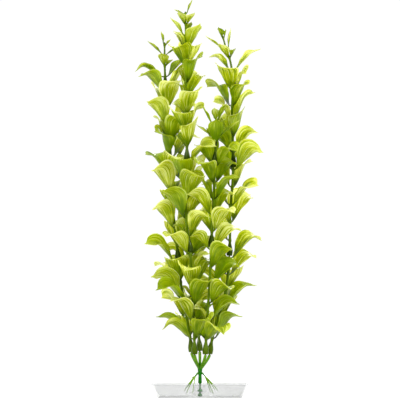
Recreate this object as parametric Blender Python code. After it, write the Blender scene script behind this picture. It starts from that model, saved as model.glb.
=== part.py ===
"""A plastic hygrophila for an aquarium.

Leafy stem sections snap into each other, five stems stand on a green root crown, and the crown is pegged into a
clear tray that is filled with gravel. Every section is one moulding: a bell socket at its foot, a stem, pairs of
leaves, and a ball at its head.

Metres, +Z up, +X to the right and -Y to the front. The origin is the middle of the tray's underside.
"""

import math
import random
from collections import namedtuple

import bmesh
import bpy
import numpy as np
from mathutils import Matrix, Vector
from mathutils.bvhtree import BVHTree

MM = 0.001

# The clear tray: a square dish with flared walls, a lip, and a hollow boss in its middle
TRAY_FOOT = 80 * MM
TRAY_RIM = 90 * MM
TRAY_HEIGHT = 13 * MM
TRAY_WALL = 1.4 * MM
TRAY_CORNER = 7 * MM
LIP_WIDTH = 1.5 * MM
LIP_HEIGHT = 1.2 * MM
BOSS_FOOT_RADIUS = 9 * MM
BOSS_TOP_RADIUS = 5.8 * MM
PEG_HOLE_RADIUS = 1.5 * MM

# The root crown
CROWN_RADIUS = 1.9 * MM
CROWN_TOP_RADIUS = 2.6 * MM
CROWN_FORK_HEIGHT = 30 * MM
PEG_SHAFT_RADIUS = 0.9 * MM
PEG_BARB_RADIUS = 2.8 * MM
PEG_BALL_RADIUS = 2.1 * MM
ARM_RADIUS = 1.5 * MM
ROOT_RADIUS = 0.95 * MM
STRAND_RADIUS = 0.55 * MM
ROOT_TOP = 24.5 * MM
KNEE_REACH = 5.3 * MM
KNEE_HEIGHT = 19.8 * MM

# The snap joint between two sections
BELL_LENGTH = 12 * MM
BELL_RADIUS = 3.05 * MM
SOCKET_RADIUS = 2.25 * MM
SOCKET_DEPTH = 7 * MM
BALL_RADIUS = 1.5 * MM
NECK_RADIUS = 0.8 * MM
CLEARANCE = 0.3 * MM

# The stems and the leaves
STEM_RADIUS = 1.25 * MM
TIP_RADIUS = 0.75 * MM
TUBE_DETAIL = 1
PAIR_SPACING = 16.5 * MM
PAIR_UNDER_BELL = 2.6 * MM
PAIR_OVER_BELL = 2.5 * MM
LEAF_LENGTHS = (42 * MM, 39 * MM, 37 * MM)
LEAF_WIDTHS = (26 * MM, 25.5 * MM, 25 * MM)
LEAF_THICKNESS = 0.75 * MM
PETIOLE_THICKNESS = 1.2 * MM
LEAF_STATIONS = (0, 0.16, 0.42, 0.66, 0.86, 1)
WHOLE_STATIONS = (0.05, *LEAF_STATIONS[1:])
BLADE_STATIONS = (0.2, *LEAF_STATIONS[2:])

Leaf = namedtuple("Leaf", "root azimuth length width lean droop sway roll")
Young = namedtuple("Young", "height azimuth length width lean droop")
Stem = namedtuple("Stem", "line mouths azimuths young")

# line holds (height, right, back) of the stem's middle line in mm, and mouths the height of each bell's mouth.
# azimuths are the two directions between which the pairs alternate, in degrees from +X towards +Y.
# young are the leaves of the last section, in mm and degrees.
STEMS = {
    "left": Stem(
        line=[(43, -7.6, 2.7), (66, -10.7, 3), (113, -19.2, 4), (142, -21.5, 5), (168, -25, 5),
              (215, -27.4, 5), (244, -28.7, 4), (275, -32, 4), (317, -33.8, 3), (338, -33.8, 3)],
        mouths=(43, 130, 214.5, 293),
        azimuths=(215, 305),
        young=[
            Young(337, 200, 13, 6, 12, 0),
            Young(336, 340, 8, 5, 42, 0),
            Young(327, 188, 21, 10, 47, 5),
            Young(327, 350, 12, 4.5, 55, 0),
            Young(316.5, 230, 14, 13, 22, 10),
            Young(316.5, 338, 10, 10.5, 48, 10),
            Young(306, 187, 33, 21, 58, 78),
            Young(306, 18, 30, 21, 44, 25),
        ],
    ),
    "front_left": Stem(
        line=[(41, -5, -7), (75, -6, -9), (112, -8, -12), (140, -9, -14), (168, -13.5, -15),
              (197, -14, -15), (228, -12, -15), (262, -13.6, -14), (322, -13.2, -10), (367, -14, -9)],
        mouths=(41, 139, 225, 318),
        azimuths=(230, 320),
        young=[
            Young(366, 178, 11, 5, 66, 0),
            Young(366, 4, 15, 6.5, 22, 0),
            Young(356, 220, 15, 13, 34, 0),
            Young(356, 320, 15, 13, 31, 0),
            Young(345, 194, 23, 11.5, 37, 5),
            Young(345, 50, 16, 9, 26, 10),
            Young(332, 318, 31, 21, 32, 8),
            Young(332, 140, 24, 15.5, 30, 30),
        ],
    ),
    "front_right": Stem(
        line=[(41, 5, -7), (79, 7.2, -10), (114, 9.5, -13), (151, 11, -16), (183, 12.6, -17),
              (209, 13.8, -18), (240, 15, -18), (265, 15.6, -17)],
        mouths=(41, 143.5, 223),
        azimuths=(215, 310),
        young=[
            Young(264, 240, 13, 10, 12, 0),
            Young(264, 322, 21, 9, 16, 0),
            Young(256, 182, 27, 8, 27, 0),
            Young(256, 10, 15, 9, 40, 0),
            Young(248, 184, 25, 10.5, 54, 0),
            Young(248, 2, 28, 10.5, 50, 5),
            Young(240.5, 272, 30, 17, 17, 8),
            Young(240.5, 100, 26, 17, 30, 60),
        ],
    ),
    "right": Stem(
        line=[(41, 8.5, 2.7), (59, 12.3, 3), (81, 19, 4), (105, 26, 5), (142, 28.6, 6), (180, 28.8, 7),
              (200, 31, 7), (228, 32.2, 6), (268, 30.2, 5), (297, 31.7, 4), (314, 31, 3),
              (329, 27, 3), (344, 20.5, 2)],
        mouths=(41, 135, 219.5, 295),
        azimuths=(225, 320),
        young=[
            Young(343, 220, 12, 9, 26, 0),
            Young(343, 335, 9, 6.5, 12, 0),
            Young(332, 183, 24, 6.5, 54, 0),
            Young(332, 5, 21, 9, 8, 0),
            Young(324, 228, 20, 13.5, 34, 0),
            Young(324, 308, 11, 14.5, 18, 10),
            Young(312, 352, 35.5, 19.5, 42, 34),
            Young(312, 168, 28, 19.5, 42, 60),
        ],
    ),
    "back": Stem(
        line=[(44, 0, 8.7), (80, -3, 12), (112, -7, 15), (146, -12, 18), (175, -14.5, 20), (211, -18, 21),
              (256, -21, 21)],
        mouths=(44, 130, 211),
        azimuths=(205, 110),
        young=[
            Young(255, 150, 13, 8, 20, 0),
            Young(255, 330, 13, 8, 25, 0),
            Young(245, 200, 22, 11.5, 40, 20),
            Young(245, 20, 22, 11.5, 40, 20),
            Young(232, 110, 29, 17, 32, 50),
            Young(232, 290, 29, 17, 32, 50),
        ],
    ),
}

# How far each leaf may differ from the plain one
LEANS = (38, 32, 30)
LEAN_SPREAD = 9
DROOP = (50, 88)
SWAY = 22
ROLL = 45
SIZE_SPREAD = 0.08
TURN_SPREAD = 30

# What a leaf may do to clear its neighbours, from the least change to the most
SWINGS = (0, 9, -9, 18, -18, 27, -27, 36, -36, 46, -46)
LEAN_CHANGES = (0, 9, -9, 18)
SHRINKS = (1, 0.9, 0.8, 0.68, 0.55)

MATERIALS = {
    "leaf_green": ((0.36, 0.50, 0.02, 1), 0.35),
    "crown_green": ((0.02, 0.30, 0.02, 1), 0.3),
    "clear_plastic": ((0.86, 0.87, 0.88, 0.4), 0.1),
}


def material(name):
    """The plastic of one moulding."""
    made = bpy.data.materials.get(name)
    if made is None:
        colour, roughness = MATERIALS[name]
        made = bpy.data.materials.new(name)
        made.use_nodes = True
        surface = made.node_tree.nodes["Principled BSDF"]
        surface.inputs["Base Color"].default_value = colour
        surface.inputs["Roughness"].default_value = roughness
        surface.inputs["Metallic"].default_value = 0
        surface.inputs["Alpha"].default_value = colour[3]
    return made


def clear_scene():
    for thing in list(bpy.data.objects):
        bpy.data.objects.remove(thing)


def collection(name):
    made = bpy.data.collections.get(name)
    if made is None:
        made = bpy.data.collections.new(name)
        bpy.context.scene.collection.children.link(made)
    return made


def add_object(name, mesh, tool=False):
    """An object for mesh: a part of the plant, or a hidden tool that cuts or joins one."""
    thing = bpy.data.objects.new(name, mesh)
    collection("joining_tools" if tool else "hygrophila").objects.link(thing)
    thing.hide_render = tool
    if tool:
        thing.display_type = "WIRE"
    return thing


def mesh_from(name, builder):
    """The mesh of a bmesh whose doubles are merged and whose faces point out."""
    bmesh.ops.remove_doubles(builder, verts=builder.verts, dist=0.002 * MM)
    bmesh.ops.recalc_face_normals(builder, faces=builder.faces)
    mesh = bpy.data.meshes.new(name)
    builder.to_mesh(mesh)
    builder.free()
    return mesh


def combine(target, tool, operation):
    """target joined with tool, or cut by it."""
    joint = target.modifiers.new(tool.name, "BOOLEAN")
    joint.operation = operation
    joint.object = tool


def tube(name, points, radii, tool=False, detail=TUBE_DETAIL):
    """A round rod through points, with its own radius at each of them, as a closed mesh."""
    curve = bpy.data.curves.new(name, "CURVE")
    curve.dimensions = "3D"
    curve.bevel_depth = 1
    curve.bevel_resolution = detail
    curve.use_fill_caps = True
    spline = curve.splines.new("POLY")
    spline.points.add(len(points) - 1)
    for knot, point, radius in zip(spline.points, points, radii):
        knot.co = (*point, 1)
        knot.radius = radius
    guide = bpy.data.objects.new(name + "_line", curve)
    bpy.context.scene.collection.objects.link(guide)
    mesh = bpy.data.meshes.new_from_object(guide.evaluated_get(bpy.context.evaluated_depsgraph_get()))
    bpy.data.objects.remove(guide)
    builder = bmesh.new()
    builder.from_mesh(mesh)
    return add_object(name, mesh_from(name, builder), tool)


def smooth(share):
    """0 below 0, 1 above 1, and an even curve between them."""
    share = np.clip(share, 0, 1)
    return share * share * (3 - 2 * share)


def stem_point(stem, height):
    """The stem's middle line at a height: its hand-set line, rounded off over 24 mm."""
    heights, right, back = (np.array(column) * MM for column in zip(*stem.line))
    near = height + np.linspace(-12, 12, 9) * MM
    return Vector((np.interp(near, heights, right).mean(), np.interp(near, heights, back).mean(), height))


def stem_direction(stem, height):
    step = 1 * MM
    return (stem_point(stem, height + step) - stem_point(stem, height - step)).normalized()


def leaf_frame(leaf, stations):
    """Middle line, side and inner direction of a leaf at each station from 0, its root, to 1, its tip.

    The tilt from the vertical starts flared, stays near the lean, and then droops over the last half. The heading
    swings by the sway, and the blade rolls about its own line.
    """
    along = np.linspace(0, 1, 65)
    tilt = np.radians(
        leaf.lean
        + 42 * np.clip(1 - along / 0.2, 0, 1) ** 2
        + leaf.droop * smooth((along - 0.56) / 0.32)
        - 14 * smooth((along - 0.86) / 0.14)
    )
    heading = np.radians(leaf.azimuth + leaf.sway * along**2)
    tangent = np.stack([np.sin(tilt) * np.cos(heading), np.sin(tilt) * np.sin(heading), np.cos(tilt)], 1)
    steps = (tangent[1:] + tangent[:-1]) / 2 * leaf.length / (len(along) - 1)
    line = np.array(leaf.root) + np.concatenate([np.zeros((1, 3)), np.cumsum(steps, 0)])
    side = np.stack([-np.sin(heading), np.cos(heading), 0 * heading], 1)
    inner = np.cross(tangent, side)
    roll = np.radians(leaf.roll * along)[:, None]
    side, inner = side * np.cos(roll) + inner * np.sin(roll), inner * np.cos(roll) - side * np.sin(roll)
    stations = np.asarray(stations, float)
    return [np.stack([np.interp(stations, along, part) for part in whole.T], 1) for whole in (line, side, inner)]


def half_width(leaf, stations):
    """A narrow stalk, a blade that widens evenly to six tenths of the length, and a narrow tail."""
    stations = np.asarray(stations, float)
    blade = np.sin(math.pi * np.clip((stations - 0.08) / 0.84, 0, 1) ** 1.6) ** 0.62
    narrow = 0.09 - 0.07 * smooth((stations - 0.88) / 0.12)
    return leaf.width / 2 * np.sqrt(blade**2 + narrow**2)


def channel(stations):
    """How far the blade is rolled up at its edges, in radians."""
    stations = np.asarray(stations, float)
    return 0.35 + 0.55 * smooth(stations / 0.4) * (1 - smooth((stations - 0.6) / 0.3))


def leaf_rings(leaf, stations, grow=0.0):
    """Four points round each station: outer face, right edge, inner face, left edge. grow thickens the leaf."""
    line, side, inner = leaf_frame(leaf, stations)
    curl = channel(stations)
    reach = (half_width(leaf, stations) + grow)[:, None]
    across = side * reach * (np.sin(curl) / curl)[:, None]
    rise = inner * reach * ((1 - np.cos(curl)) / curl)[:, None]
    stalk = smooth(1 - np.asarray(stations) / 0.3)
    thickness = (LEAF_THICKNESS + (PETIOLE_THICKNESS - LEAF_THICKNESS) * stalk) / 2 + grow
    thick = inner * thickness[:, None]
    return np.stack([line - thick, line + across + rise, line + thick, line - across + rise], 1)


def make_leaf(name, leaf):
    """A leaf lofted through its rings: closed at its root, and drawn to a point at its tip."""
    builder = bmesh.new()
    rings = leaf_rings(leaf, LEAF_STATIONS[:-1])
    loops = [[builder.verts.new(point) for point in ring] for ring in rings]
    tip = builder.verts.new(leaf_frame(leaf, [1])[0][0])
    builder.faces.new(loops[0])
    # Both faces of the blade are split from the same midrib point to the same edge point, so they never cross
    for low, high in zip(loops, loops[1:]):
        for middle in (0, 2):
            for edge in (1, 3):
                builder.faces.new((low[middle], low[edge], high[edge]))
                builder.faces.new((low[middle], high[edge], high[middle]))
    for k in range(4):
        builder.faces.new((loops[-1][k], loops[-1][(k + 1) % 4], tip))
    return add_object(name, mesh_from(name, builder), tool=True)


def ring_tree(rings, closed_end=True):
    """A search tree over the faces between rings, to find what they touch."""
    count, around = rings.shape[:2]
    faces = [
        (i * around + k, i * around + (k + 1) % around, (i + 1) * around + (k + 1) % around, (i + 1) * around + k)
        for i in range(count - 1)
        for k in range(around)
    ]
    return BVHTree.FromPolygons(rings.reshape(-1, 3).tolist(), faces)


def rod_tree(points, radii):
    """A search tree over an eight-sided rod that stands nearly upright."""
    angles = np.radians(np.arange(0, 360, 45))
    circle = np.stack([np.cos(angles), np.sin(angles), 0 * angles], 1)
    return ring_tree(np.array([np.array(p) + r * circle for p, r in zip(points, radii)]))


def section_profile(stem, foot, head, last):
    """(height, radius) up a section: bell, stem, and the ball in the next bell, or a thin tip on the last section."""
    bell = [(0, 0.88), (3, 1), (6.5, 0.88), (12, 0.43)]
    profile = [(foot + h * MM, BELL_RADIUS * share) for h, share in bell]
    upper = profile[-1][0]
    top_radius = TIP_RADIUS if last else STEM_RADIUS
    count = max(2, round((head - upper) / (28 * MM)))
    for k in range(1, count):
        share = k / count
        profile.append((upper + (head - upper) * share, STEM_RADIUS + (top_radius - STEM_RADIUS) * share))
    if last:
        return profile + [(head, top_radius), (head + 1.2 * MM, 0.4 * top_radius)]
    return profile + [
        (head - 1.6 * MM, STEM_RADIUS),
        (head - 0.2 * MM, NECK_RADIUS),
        (head + 1.3 * MM, NECK_RADIUS),
        (head + 2.4 * MM, BALL_RADIUS),
        (head + 3.8 * MM, BALL_RADIUS),
        (head + 5 * MM, 0.5 * BALL_RADIUS),
    ]


def sections_of(stem):
    """(foot, head, last) of each section, where head is the next bell's mouth or the stem's tip."""
    feet = [height * MM for height in stem.mouths]
    heads = feet[1:] + [stem.line[-1][0] * MM]
    return [(foot, head, k == len(feet) - 1) for k, (foot, head) in enumerate(zip(feet, heads))]


def leaf_at(stem, height, azimuth, *shape):
    """A leaf that starts just inside the stem at a height."""
    heading = math.radians(azimuth)
    root = stem_point(stem, height) + Vector((math.cos(heading), math.sin(heading), 0)) * 0.42 * MM
    return Leaf(tuple(root), azimuth, *shape)


def plain_leaves(stem_name, section, foot, head, last):
    """A section's leaves as they grow with nothing in their way, the topmost first."""
    stem = STEMS[stem_name]
    if last:
        return [
            leaf_at(stem, young.height * MM, young.azimuth, young.length * MM, young.width * MM, young.lean,
                    young.droop, 0, 0)
            for young in stem.young
        ]
    chance = random.Random(f"{stem_name} twigs {section}")
    low = foot + BELL_LENGTH + PAIR_OVER_BELL
    high = head - PAIR_UNDER_BELL
    count = round((high - low) / PAIR_SPACING) + 1
    leaves = []
    for k, height in enumerate(np.linspace(high, low, count)):
        for far in (0, 180):
            size = chance.uniform(1 - SIZE_SPREAD, 1 + SIZE_SPREAD)
            azimuth = stem.azimuths[(k + section) % 2] + far + chance.uniform(-TURN_SPREAD, TURN_SPREAD)
            lean = LEANS[section] + chance.uniform(-LEAN_SPREAD, LEAN_SPREAD)
            shape = (chance.uniform(*DROOP), chance.uniform(-SWAY, SWAY), chance.uniform(-ROLL, ROLL))
            leaves.append(leaf_at(stem, height, azimuth, LEAF_LENGTHS[section] * size, LEAF_WIDTHS[section] * size,
                                  lean, *shape))
    return leaves


def changes():
    """Every change that a leaf may try, as (swing, lean, shrink), the smallest first."""
    found = [(swing, lean, shrink) for swing in SWINGS for lean in LEAN_CHANGES for shrink in SHRINKS]
    return sorted(found, key=lambda c: abs(c[0]) / 46 + abs(c[1]) / 40 + (1 - c[2]) * 1.6)


def settle(leaf, own_rod, rods, leaves):
    """The leaf, turned aside by the smallest change that keeps it clear of every rod and leaf, or None."""
    for swing, lean, shrink in changes():
        tried = leaf._replace(
            azimuth=leaf.azimuth + swing, lean=leaf.lean + lean, length=leaf.length * shrink,
            width=leaf.width * shrink,
        )
        blade = ring_tree(leaf_rings(tried, BLADE_STATIONS, CLEARANCE))
        if blade.overlap(own_rod):
            continue
        whole = ring_tree(leaf_rings(tried, WHOLE_STATIONS, CLEARANCE))
        if not any(whole.overlap(other) for other in rods + leaves):
            return tried, whole
    return None


def arm_line(stem):
    """The crown's arm to one stem: out of the fork, up into the line of the stem, and into its bell."""
    foot = stem.mouths[0] * MM
    base, direction = stem_point(stem, foot), stem_direction(stem, foot)
    start = Vector((0, 0, CROWN_FORK_HEIGHT - 4 * MM))
    bend = base - direction * 4 * MM
    share = [k / 5 for k in range(6)]
    points = [(1 - t) ** 2 * start + 2 * t * (1 - t) * bend + t * t * (base - direction * 0.6 * MM) for t in share]
    radii = [ARM_RADIUS * (0.85 + 0.15 * t) for t in share[:-1]] + [NECK_RADIUS]
    for offset, radius in ((1.3, NECK_RADIUS), (2.4, BALL_RADIUS), (3.8, BALL_RADIUS), (5, 0.5 * BALL_RADIUS)):
        points.append(base + direction * offset * MM)
        radii.append(radius)
    return points, radii


def section_rods():
    """Search trees of all sections' rods, which every leaf has to clear."""
    found = {}
    for stem_name, stem in STEMS.items():
        for section, (foot, head, last) in enumerate(sections_of(stem)):
            profile = section_profile(stem, foot, head, last)
            points = [stem_point(stem, height) for height, _ in profile]
            found[stem_name, section] = rod_tree(points, [radius + CLEARANCE for _, radius in profile])
    return found


def grow_leaves():
    """Every leaf, by stem and section, each settled among those that grew before it."""
    rods, grown, leaves = section_rods(), {}, []
    for stem_name, stem in STEMS.items():
        for section, (foot, head, last) in enumerate(sections_of(stem)):
            own = rods[stem_name, section]
            others = [rod for rod in rods.values() if rod is not own]
            kept = []
            for plain in plain_leaves(stem_name, section, foot, head, last):
                settled = settle(plain, own, others, leaves)
                if settled:
                    kept.append(settled[0])
                    leaves.append(settled[1])
            grown[stem_name, section] = kept
    return grown


def make_section(name, stem, span, leaves):
    """One moulding: its rod with the bell and ball, joined with its leaves, and the socket bored into the bell."""
    foot, head, last = span
    profile = section_profile(stem, foot, head, last)
    points = [stem_point(stem, height) for height, _ in profile]
    made = tube(name, points, [radius for _, radius in profile])
    for number, leaf in enumerate(leaves):
        combine(made, make_leaf(f"{name}_leaf_{number + 1}", leaf), "UNION")
    base, direction = stem_point(stem, foot), stem_direction(stem, foot)
    bore = tube(name + "_bore", [base - direction * MM, base + direction * SOCKET_DEPTH],
                [SOCKET_RADIUS, SOCKET_RADIUS], tool=True)
    combine(made, bore, "DIFFERENCE")
    made.data.materials.append(material("leaf_green"))
    return made


def make_stems():
    grown = grow_leaves()
    for stem_name, stem in STEMS.items():
        for section, span in enumerate(sections_of(stem)):
            make_section(f"{stem_name}_stem_section_{section + 1}", stem, span, grown[stem_name, section])


def rootlet(name, azimuth, start, reach, end, thickness):
    """A thin root from start that runs outwards along azimuth and down to end, all in metres, as a tool."""
    heading = math.radians(azimuth)
    out = Vector((math.cos(heading), math.sin(heading), 0))
    bend = start + out * reach * 0.52 + Vector((0, 0, (end - start.z) * 0.4))
    finish = Vector((start.x, start.y, end)) + out * reach
    share = [k / 4 for k in range(5)]
    points = [(1 - t) ** 2 * start + 2 * t * (1 - t) * bend + t * t * finish for t in share]
    return tube(name, points, [thickness * (1 - 0.5 * t) for t in share], tool=True, detail=0), finish


def make_crown():
    """The green moulding: peg, column, five arms with balls, and four branched roots."""
    boss_top = TRAY_HEIGHT
    column = [
        (0.4 * MM, 0.5 * PEG_BALL_RADIUS),
        (1.4 * MM, PEG_BALL_RADIUS),
        (2.8 * MM, PEG_BALL_RADIUS),
        (3.6 * MM, PEG_SHAFT_RADIUS),
        (4.8 * MM, PEG_SHAFT_RADIUS),
        (5.4 * MM, PEG_BARB_RADIUS),
        (6.6 * MM, PEG_BARB_RADIUS),
        (8 * MM, PEG_SHAFT_RADIUS),
        (boss_top + CLEARANCE, PEG_SHAFT_RADIUS),
        (boss_top + 2 * CLEARANCE, CROWN_RADIUS),
        (ROOT_TOP - 3 * MM, 0.9 * CROWN_RADIUS),
        (CROWN_FORK_HEIGHT, CROWN_TOP_RADIUS),
        (CROWN_FORK_HEIGHT + 3 * MM, 0.7 * CROWN_TOP_RADIUS),
    ]
    crown = tube("root_crown", [Vector((0, 0, height)) for height, _ in column],
                 [radius for _, radius in column], detail=2)
    for name, stem in STEMS.items():
        points, radii = arm_line(stem)
        combine(crown, tube("crown_arm_" + name, points, radii, tool=True), "UNION")
    # Each root is a short stalk at an azimuth, with strands from its knee: swing, reach and end height
    roots = (
        (168, ((-8, 10.5, 5.5), (24, 8, 3.5), (-36, 9, 11.5), (50, 3.5, 18.5), (4, 5.5, 10))),
        (214, ((6, 10, 6), (-22, 8.5, 9), (34, 7, 3.5), (-52, 4, 16))),
        (345, ((4, 12.5, 5.5), (-18, 9, 3), (28, 8, 9), (-44, 3.5, 16.5), (-2, 5, 11))),
        (26, ((-6, 10, 7), (22, 8, 4), (-34, 7, 12), (50, 4, 17))),
    )
    top = Vector((0, 0, ROOT_TOP))
    for number, (azimuth, strands) in enumerate(roots):
        name = f"root_{number + 1}"
        stalk, knee = rootlet(name, azimuth, top, KNEE_REACH, KNEE_HEIGHT, ROOT_RADIUS)
        combine(crown, stalk, "UNION")
        for k, (swing, reach, end) in enumerate(strands):
            strand, _ = rootlet(f"{name}_{k + 1}", azimuth + swing, knee, reach * MM, end * MM, STRAND_RADIUS)
            combine(crown, strand, "UNION")
    crown.data.materials.append(material("crown_green"))


def tapered_box(name, foot_side, top_side, low, high, corner, tool):
    """A square block with rounded upright edges, whose top may be wider than its foot."""
    builder = bmesh.new()
    bmesh.ops.create_cube(builder, size=1)
    for vert in builder.verts:
        side = top_side if vert.co.z > 0 else foot_side
        vert.co = (vert.co.x * side, vert.co.y * side, high if vert.co.z > 0 else low)
    upright = [edge for edge in builder.edges if abs(edge.verts[0].co.z - edge.verts[1].co.z) > 0.5 * (high - low)]
    bmesh.ops.bevel(builder, geom=upright, offset=corner, segments=4, profile=0.5, affect="EDGES")
    return add_object(name, mesh_from(name, builder), tool)


def cone(name, low_radius, high_radius, low, high, sides=20):
    """A turned tool round the tray's middle."""
    builder = bmesh.new()
    bmesh.ops.create_cone(
        builder, cap_ends=True, segments=sides, radius1=low_radius, radius2=high_radius, depth=high - low,
        matrix=Matrix.Translation((0, 0, (low + high) / 2)),
    )
    return add_object(name, mesh_from(name, builder), tool=True)


def make_tray():
    """The clear dish: block, lip, dished out, with the boss joined in and hollowed from below for the peg."""
    flare = (TRAY_RIM - TRAY_FOOT) / TRAY_HEIGHT
    spare = 2 * MM
    tray = tapered_box("base_tray", TRAY_FOOT, TRAY_RIM, 0, TRAY_HEIGHT, TRAY_CORNER, tool=False)
    lip = TRAY_RIM + 2 * LIP_WIDTH
    combine(tray, tapered_box("tray_lip", lip, lip, TRAY_HEIGHT - LIP_HEIGHT, TRAY_HEIGHT + 0.01 * MM,
                              TRAY_CORNER + LIP_WIDTH, tool=True), "UNION")
    low_side = TRAY_FOOT + flare * TRAY_WALL - 2 * TRAY_WALL
    high_side = TRAY_RIM + flare * spare - 2 * TRAY_WALL
    combine(tray, tapered_box("tray_dish", low_side, high_side, TRAY_WALL, TRAY_HEIGHT + spare,
                              TRAY_CORNER - TRAY_WALL, tool=True), "DIFFERENCE")
    combine(tray, cone("boss", BOSS_FOOT_RADIUS, BOSS_TOP_RADIUS, 0.3 * TRAY_WALL, TRAY_HEIGHT), "UNION")
    slope = (BOSS_FOOT_RADIUS - BOSS_TOP_RADIUS) / TRAY_HEIGHT
    combine(tray, cone("boss_hollow", BOSS_FOOT_RADIUS + slope * MM - TRAY_WALL,
                       BOSS_TOP_RADIUS + slope * TRAY_WALL - TRAY_WALL, -MM, TRAY_HEIGHT - TRAY_WALL), "DIFFERENCE")
    combine(tray, cone("peg_hole", PEG_HOLE_RADIUS, PEG_HOLE_RADIUS, 0, TRAY_HEIGHT + spare, sides=12),
            "DIFFERENCE")
    tray.data.materials.append(material("clear_plastic"))


clear_scene()
make_tray()
make_crown()
make_stems()
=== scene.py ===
"""The looks of a plastic hygrophila: snap-together leafy stems on a green root crown in a clear tray.

Metres, +Z up, +X to the right and -Y to the front, with the origin in the middle of the tray's underside.
"""

import math
import random
from collections import namedtuple

import bmesh
import bpy
import numpy as np
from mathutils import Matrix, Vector
from mathutils.bvhtree import BVHTree


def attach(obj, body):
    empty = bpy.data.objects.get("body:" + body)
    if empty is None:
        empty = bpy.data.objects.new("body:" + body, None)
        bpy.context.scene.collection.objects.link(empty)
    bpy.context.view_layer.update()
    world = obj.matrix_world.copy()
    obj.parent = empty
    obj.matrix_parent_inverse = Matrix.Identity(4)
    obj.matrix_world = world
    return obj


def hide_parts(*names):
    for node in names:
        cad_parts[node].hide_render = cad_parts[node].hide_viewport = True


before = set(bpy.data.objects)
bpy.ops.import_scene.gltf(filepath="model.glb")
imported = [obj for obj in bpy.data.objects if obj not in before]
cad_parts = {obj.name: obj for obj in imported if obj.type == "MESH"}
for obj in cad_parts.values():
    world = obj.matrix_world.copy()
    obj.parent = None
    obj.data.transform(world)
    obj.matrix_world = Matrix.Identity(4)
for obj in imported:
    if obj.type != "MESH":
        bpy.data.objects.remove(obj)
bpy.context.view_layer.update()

# Clear tray
# The tray is one thin moulding of clear polystyrene: a square dish that holds gravel, with a lip round its rim.
# The boss in its middle is hollow from below, so that the crown's peg can snap through the hole in its top.
MM = 0.001
TRAY_FOOT = 80 * MM
TRAY_RIM = 90 * MM
TRAY_HEIGHT = 13 * MM
TRAY_WALL = 1.4 * MM
TRAY_CORNER = 7 * MM
LIP_WIDTH = 1.5 * MM
LIP_HEIGHT = 1.2 * MM
BOSS_FOOT_RADIUS = 9 * MM
BOSS_TOP_RADIUS = 5.8 * MM
PEG_HOLE_RADIUS = 1.5 * MM
EDGE_ROUNDING = 0.35 * MM


class Signal:
    """A shader socket that takes part in sums: each operation adds its Math node to the material."""

    def __init__(self, tree, socket=None):
        self.tree = tree
        self.socket = socket

    def node(self, kind, settings, sockets, out=0):
        """A node of a kind, with its settings and the values or links of its sockets. Gives one of its outputs."""
        made = self.tree.nodes.new(kind)
        for name, value in settings.items():
            setattr(made, name, value)
        for name, value in sockets.items():
            if isinstance(value, Signal):
                self.tree.links.new(value.socket, made.inputs[name])
            else:
                made.inputs[name].default_value = value
        return Signal(self.tree, made.outputs[out] if made.outputs else None)

    def maths(self, operation, left, right=0.0, clamp=False):
        return self.node("ShaderNodeMath", {"operation": operation, "use_clamp": clamp}, {0: left, 1: right})

    def mixed(self, low, high):
        """The colour that goes from low to high as this signal goes from 0 to 1."""
        return self.node("ShaderNodeMix", {"data_type": "RGBA"}, {0: self, 6: low, 7: high}, out=2)

    def __add__(self, other):
        return self.maths("ADD", self, other)

    __radd__ = __add__

    def __sub__(self, other):
        return self.maths("SUBTRACT", self, other)

    def __rsub__(self, other):
        return self.maths("SUBTRACT", other, self)

    def __mul__(self, other):
        return self.maths("MULTIPLY", self, other)

    __rmul__ = __mul__

    def __pow__(self, other):
        return self.maths("POWER", self, other)


def new_material(name):
    """An empty node material, and a signal that starts its nodes."""
    made = bpy.data.materials.new(name)
    made.use_nodes = True
    made.node_tree.nodes.clear()
    return made, Signal(made.node_tree)


def set_surface(start, surface):
    start.node("ShaderNodeOutputMaterial", {}, {"Surface": surface})


def rounded_square(half, corner, count=24):
    """Points round a square of half side half: the centre of each corner plus an arc of radius corner."""
    angle = np.linspace(0, math.pi / 2, count)
    quarter = (half - corner) + corner * np.stack([np.cos(angle), np.sin(angle)], 1)
    turned = []
    for turn in range(4):
        cosine, sine = round(math.cos(turn * math.pi / 2)), round(math.sin(turn * math.pi / 2))
        turned.append(quarter @ np.array([[cosine, sine], [-sine, cosine]]))
    return np.concatenate(turned)


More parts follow.
